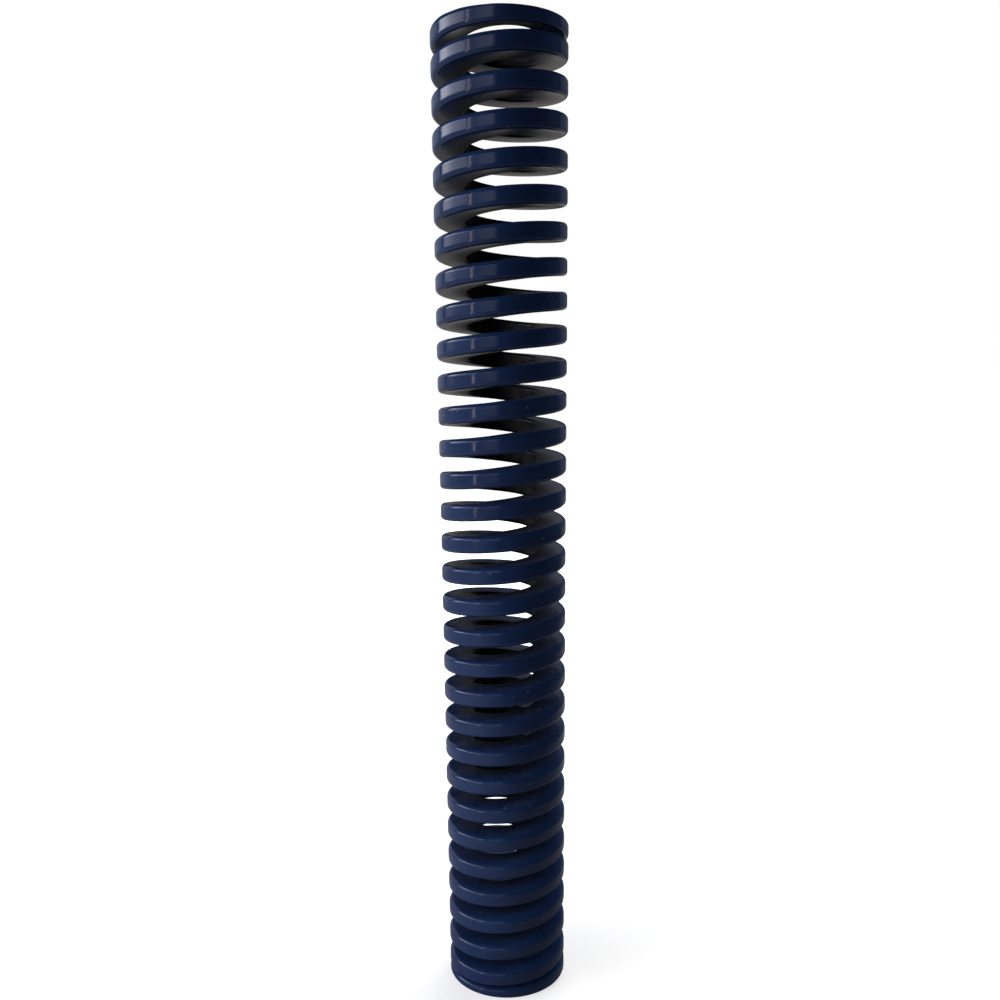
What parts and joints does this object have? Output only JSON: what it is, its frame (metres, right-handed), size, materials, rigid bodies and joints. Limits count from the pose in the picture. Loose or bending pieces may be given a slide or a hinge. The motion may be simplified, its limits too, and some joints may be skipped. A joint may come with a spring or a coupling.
{
  "type": "die spring",
  "caption": "Long heavy compression spring of flat-sided steel wire, right-hand wound, painted blue, with closed and ground ends.",
  "frame": {"origin": "on the spring's axis, at the face of the lower ground end", "axes": "+Z along the spring's axis from the lower ground end to the upper one, with the lower wire tip 8 degrees from -X towards +Y"},
  "size_m": [0.0398, 0.0398, 0.3],
  "materials": {
    "blue_paint": "gloss blue paint over spring steel"
  },
  "bodies": {
    "root": {"spring_coil": "blue_paint"}
  },
  "joints": []
}
